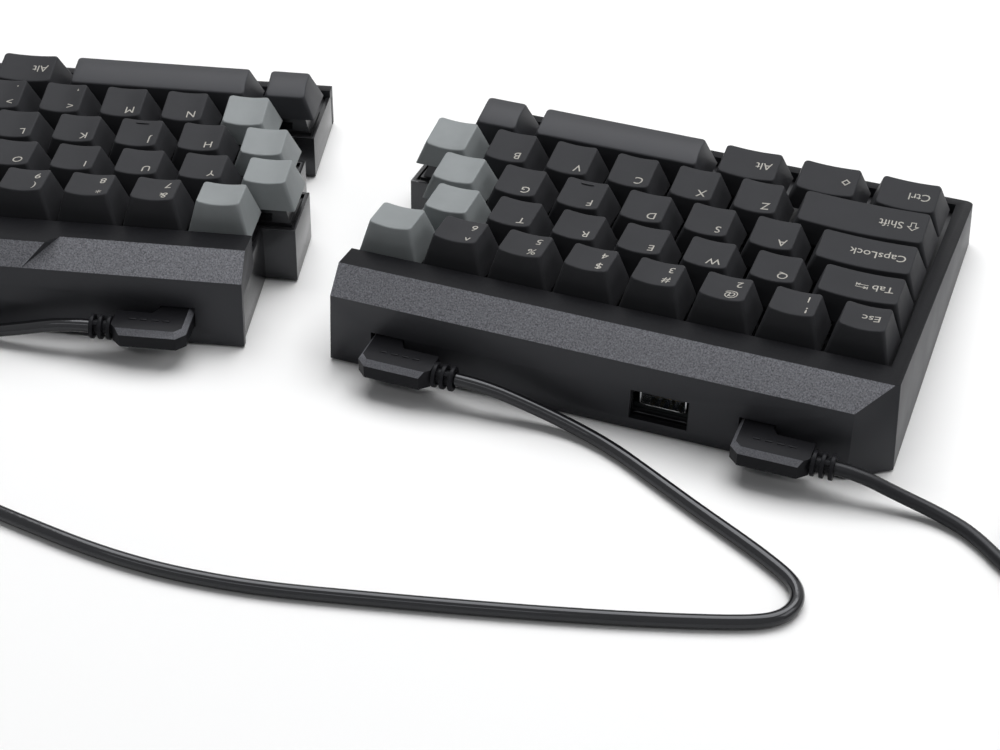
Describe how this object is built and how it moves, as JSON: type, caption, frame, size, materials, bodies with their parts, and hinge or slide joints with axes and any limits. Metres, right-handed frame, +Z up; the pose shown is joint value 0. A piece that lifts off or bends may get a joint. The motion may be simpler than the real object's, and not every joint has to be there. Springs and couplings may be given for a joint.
{
  "type": "split keyboard",
  "caption": "Two-piece ergonomic keyboard with sculpted keycaps on tilted switch plates, a linking cable between the halves and a computer cable with its spare length coiled.",
  "frame": {"origin": "on the desk, at the middle of the box around the two halves", "axes": "+X along the left half's key rows to the typist's right, +Y away from the typist, +Z up"},
  "size_m": [0.5075, 0.2243, 0.0351],
  "materials": {
    "case_plastic": "fine matte texture",
    "tray_plastic": "satin",
    "plate_metal": "matte black",
    "circuit_board": "solder mask",
    "socket_steel": "plated steel",
    "foot_rubber": "matte",
    "plug_plastic": "moulded matte",
    "cable_jacket": "smooth satin",
    "switch_plastic": "satin",
    "black_cap": "fine matte",
    "grey_cap": "fine matte",
    "charcoal_cap": "fine matte"
  },
  "bodies": {
    "keyboard": {"case_screws": "socket_steel", "host_cable": "cable_jacket", "host_cable_coil": "cable_jacket", "host_plug": "plug_plastic", "hub_socket": "socket_steel", "left_bottom_cover": "tray_plastic", "left_circuit_board": "circuit_board", "left_switch_plate": "plate_metal", "left_top_cover": "case_plastic", "link_cable": "cable_jacket", "link_plugs": "plug_plastic", "mini_sockets": "socket_steel", "port_boards": "circuit_board", "right_bottom_cover": "tray_plastic", "right_circuit_board": "circuit_board", "right_switch_plate": "plate_metal", "right_top_cover": "case_plastic", "rubber_feet": "foot_rubber", "stabiliser_housings": "switch_plastic", "switch_housings": "switch_plastic", "usb_plug": "plug_plastic"},
    "key_1": {"key_1": "charcoal_cap"},
    "key_2": {"key_2": "charcoal_cap"},
    "key_3": {"key_3": "charcoal_cap"},
    "key_4": {"key_4": "charcoal_cap"},
    "key_5": {"key_5": "charcoal_cap"},
    "key_6": {"key_6": "charcoal_cap"},
    "key_a": {"key_a": "charcoal_cap"},
    "key_b": {"key_b": "charcoal_cap"},
    "key_c": {"key_c": "charcoal_cap"},
    "key_caps_lock": {"key_caps_lock": "charcoal_cap"},
    "key_d": {"key_d": "charcoal_cap"},
    "key_e": {"key_e": "charcoal_cap"},
    "key_esc": {"key_esc": "charcoal_cap"},
    "key_f": {"key_f": "charcoal_cap"},
    "key_g": {"key_g": "charcoal_cap"},
    "key_left_alt": {"key_left_alt": "charcoal_cap"},
    "key_left_ctrl": {"key_left_ctrl": "charcoal_cap"},
    "key_left_meta": {"key_left_meta": "charcoal_cap"},
    "key_left_shift": {"key_left_shift": "charcoal_cap"},
    "key_left_space": {"key_left_space": "black_cap"},
    "key_macro_1": {"key_macro_1": "grey_cap"},
    "key_macro_2": {"key_macro_2": "grey_cap"},
    "key_macro_3": {"key_macro_3": "grey_cap"},
    "key_macro_4": {"key_macro_4": "grey_cap"},
    "key_macro_5": {"key_macro_5": "black_cap"},
    "key_q": {"key_q": "charcoal_cap"},
    "key_r": {"key_r": "charcoal_cap"},
    "key_s": {"key_s": "charcoal_cap"},
    "key_t": {"key_t": "charcoal_cap"},
    "key_tab": {"key_tab": "charcoal_cap"},
    "key_v": {"key_v": "charcoal_cap"},
    "key_w": {"key_w": "charcoal_cap"},
    "key_x": {"key_x": "charcoal_cap"},
    "key_z": {"key_z": "charcoal_cap"},
    "right_home_keys": {"right_home_keys": "charcoal_cap"},
    "right_lower_keys": {"right_lower_keys": "charcoal_cap"},
    "right_number_keys": {"right_number_keys": "charcoal_cap"},
    "right_thumb_keys": {"right_thumb_keys": "charcoal_cap"},
    "right_upper_keys": {"right_upper_keys": "charcoal_cap"}
  },
  "joints": [
    {"name": "key_1_travel", "type": "slide", "parent": "keyboard", "child": "key_1", "axis": [0, 0.0609, -0.9981], "range_m": [0, 0.004], "stiffness_N_per_m": 90, "springref_m": -0.0035},
    {"name": "key_2_travel", "type": "slide", "parent": "keyboard", "child": "key_2", "axis": [0, 0.0609, -0.9981], "range_m": [0, 0.004], "stiffness_N_per_m": 90, "springref_m": -0.0035},
    {"name": "key_3_travel", "type": "slide", "parent": "keyboard", "child": "key_3", "axis": [0, 0.0609, -0.9981], "range_m": [0, 0.004], "stiffness_N_per_m": 90, "springref_m": -0.0035},
    {"name": "key_4_travel", "type": "slide", "parent": "keyboard", "child": "key_4", "axis": [0, 0.0609, -0.9981], "range_m": [0, 0.004], "stiffness_N_per_m": 90, "springref_m": -0.0035},
    {"name": "key_5_travel", "type": "slide", "parent": "keyboard", "child": "key_5", "axis": [0, 0.0609, -0.9981], "range_m": [0, 0.004], "stiffness_N_per_m": 90, "springref_m": -0.0035},
    {"name": "key_6_travel", "type": "slide", "parent": "keyboard", "child": "key_6", "axis": [0, 0.0609, -0.9981], "range_m": [0, 0.004], "stiffness_N_per_m": 90, "springref_m": -0.0035},
    {"name": "key_a_travel", "type": "slide", "parent": "keyboard", "child": "key_a", "axis": [0, 0.0609, -0.9981], "range_m": [0, 0.004], "stiffness_N_per_m": 90, "springref_m": -0.0035},
    {"name": "key_b_travel", "type": "slide", "parent": "keyboard", "child": "key_b", "axis": [0, 0.0609, -0.9981], "range_m": [0, 0.004], "stiffness_N_per_m": 90, "springref_m": -0.0035},
    {"name": "key_c_travel", "type": "slide", "parent": "keyboard", "child": "key_c", "axis": [0, 0.0609, -0.9981], "range_m": [0, 0.004], "stiffness_N_per_m": 90, "springref_m": -0.0035},
    {"name": "key_caps_lock_travel", "type": "slide", "parent": "keyboard", "child": "key_caps_lock", "axis": [0, 0.0609, -0.9981], "range_m": [0, 0.004], "stiffness_N_per_m": 90, "springref_m": -0.0035},
    {"name": "key_d_travel", "type": "slide", "parent": "keyboard", "child": "key_d", "axis": [0, 0.0609, -0.9981], "range_m": [0, 0.004], "stiffness_N_per_m": 90, "springref_m": -0.0035},
    {"name": "key_e_travel", "type": "slide", "parent": "keyboard", "child": "key_e", "axis": [0, 0.0609, -0.9981], "range_m": [0, 0.004], "stiffness_N_per_m": 90, "springref_m": -0.0035},
    {"name": "key_esc_travel", "type": "slide", "parent": "keyboard", "child": "key_esc", "axis": [0, 0.0609, -0.9981], "range_m": [0, 0.004], "stiffness_N_per_m": 90, "springref_m": -0.0035},
    {"name": "key_f_travel", "type": "slide", "parent": "keyboard", "child": "key_f", "axis": [0, 0.0609, -0.9981], "range_m": [0, 0.004], "stiffness_N_per_m": 90, "springref_m": -0.0035},
    {"name": "key_g_travel", "type": "slide", "parent": "keyboard", "child": "key_g", "axis": [0, 0.0609, -0.9981], "range_m": [0, 0.004], "stiffness_N_per_m": 90, "springref_m": -0.0035},
    {"name": "key_left_alt_travel", "type": "slide", "parent": "keyboard", "child": "key_left_alt", "axis": [0, 0.0609, -0.9981], "range_m": [0, 0.004], "stiffness_N_per_m": 90, "springref_m": -0.0035},
    {"name": "key_left_ctrl_travel", "type": "slide", "parent": "keyboard", "child": "key_left_ctrl", "axis": [0, 0.0609, -0.9981], "range_m": [0, 0.004], "stiffness_N_per_m": 90, "springref_m": -0.0035},
    {"name": "key_left_meta_travel", "type": "slide", "parent": "keyboard", "child": "key_left_meta", "axis": [0, 0.0609, -0.9981], "range_m": [0, 0.004], "stiffness_N_per_m": 90, "springref_m": -0.0035},
    {"name": "key_left_shift_travel", "type": "slide", "parent": "keyboard", "child": "key_left_shift", "axis": [0, 0.0609, -0.9981], "range_m": [0, 0.004], "stiffness_N_per_m": 90, "springref_m": -0.0035},
    {"name": "key_left_space_travel", "type": "slide", "parent": "keyboard", "child": "key_left_space", "axis": [0, 0.0609, -0.9981], "range_m": [0, 0.004], "stiffness_N_per_m": 90, "springref_m": -0.0035},
    {"name": "key_macro_1_travel", "type": "slide", "parent": "keyboard", "child": "key_macro_1", "axis": [0, 0.0609, -0.9981], "range_m": [0, 0.004], "stiffness_N_per_m": 90, "springref_m": -0.0035},
    {"name": "key_macro_2_travel", "type": "slide", "parent": "keyboard", "child": "key_macro_2", "axis": [0, 0.0609, -0.9981], "range_m": [0, 0.004], "stiffness_N_per_m": 90, "springref_m": -0.0035},
    {"name": "key_macro_3_travel", "type": "slide", "parent": "keyboard", "child": "key_macro_3", "axis": [0, 0.0609, -0.9981], "range_m": [0, 0.004], "stiffness_N_per_m": 90, "springref_m": -0.0035},
    {"name": "key_macro_4_travel", "type": "slide", "parent": "keyboard", "child": "key_macro_4", "axis": [0, 0.0609, -0.9981], "range_m": [0, 0.004], "stiffness_N_per_m": 90, "springref_m": -0.0035},
    {"name": "key_macro_5_travel", "type": "slide", "parent": "keyboard", "child": "key_macro_5", "axis": [0, 0.0609, -0.9981], "range_m": [0, 0.004], "stiffness_N_per_m": 90, "springref_m": -0.0035},
    {"name": "key_q_travel", "type": "slide", "parent": "keyboard", "child": "key_q", "axis": [0, 0.0609, -0.9981], "range_m": [0, 0.004], "stiffness_N_per_m": 90, "springref_m": -0.0035},
    {"name": "key_r_travel", "type": "slide", "parent": "keyboard", "child": "key_r", "axis": [0, 0.0609, -0.9981], "range_m": [0, 0.004], "stiffness_N_per_m": 90, "springref_m": -0.0035},
    {"name": "key_s_travel", "type": "slide", "parent": "keyboard", "child": "key_s", "axis": [0, 0.0609, -0.9981], "range_m": [0, 0.004], "stiffness_N_per_m": 90, "springref_m": -0.0035},
    {"name": "key_t_travel", "type": "slide", "parent": "keyboard", "child": "key_t", "axis": [0, 0.0609, -0.9981], "range_m": [0, 0.004], "stiffness_N_per_m": 90, "springref_m": -0.0035},
    {"name": "key_tab_travel", "type": "slide", "parent": "keyboard", "child": "key_tab", "axis": [0, 0.0609, -0.9981], "range_m": [0, 0.004], "stiffness_N_per_m": 90, "springref_m": -0.0035},
    {"name": "key_v_travel", "type": "slide", "parent": "keyboard", "child": "key_v", "axis": [0, 0.0609, -0.9981], "range_m": [0, 0.004], "stiffness_N_per_m": 90, "springref_m": -0.0035},
    {"name": "key_w_travel", "type": "slide", "parent": "keyboard", "child": "key_w", "axis": [0, 0.0609, -0.9981], "range_m": [0, 0.004], "stiffness_N_per_m": 90, "springref_m": -0.0035},
    {"name": "key_x_travel", "type": "slide", "parent": "keyboard", "child": "key_x", "axis": [0, 0.0609, -0.9981], "range_m": [0, 0.004], "stiffness_N_per_m": 90, "springref_m": -0.0035},
    {"name": "key_z_travel", "type": "slide", "parent": "keyboard", "child": "key_z", "axis": [0, 0.0609, -0.9981], "range_m": [0, 0.004], "stiffness_N_per_m": 90, "springref_m": -0.0035},
    {"name": "right_home_keys_travel", "type": "slide", "parent": "keyboard", "child": "right_home_keys", "axis": [-0.0142, 0.0592, -0.9981], "range_m": [0, 0.004], "stiffness_N_per_m": 720, "springref_m": -0.0035},
    {"name": "right_lower_keys_travel", "type": "slide", "parent": "keyboard", "child": "right_lower_keys", "axis": [-0.0142, 0.0592, -0.9981], "range_m": [0, 0.004], "stiffness_N_per_m": 630, "springref_m": -0.0035},
    {"name": "right_number_keys_travel", "type": "slide", "parent": "keyboard", "child": "right_number_keys", "axis": [-0.0142, 0.0592, -0.9981], "range_m": [0, 0.004], "stiffness_N_per_m": 720, "springref_m": -0.0035},
    {"name": "right_thumb_keys_travel", "type": "slide", "parent": "keyboard", "child": "right_thumb_keys", "axis": [-0.0142, 0.0592, -0.9981], "range_m": [0, 0.004], "stiffness_N_per_m": 540, "springref_m": -0.0035},
    {"name": "right_upper_keys_travel", "type": "slide", "parent": "keyboard", "child": "right_upper_keys", "axis": [-0.0142, 0.0592, -0.9981], "range_m": [0, 0.004], "stiffness_N_per_m": 810, "springref_m": -0.0035}
  ]
}
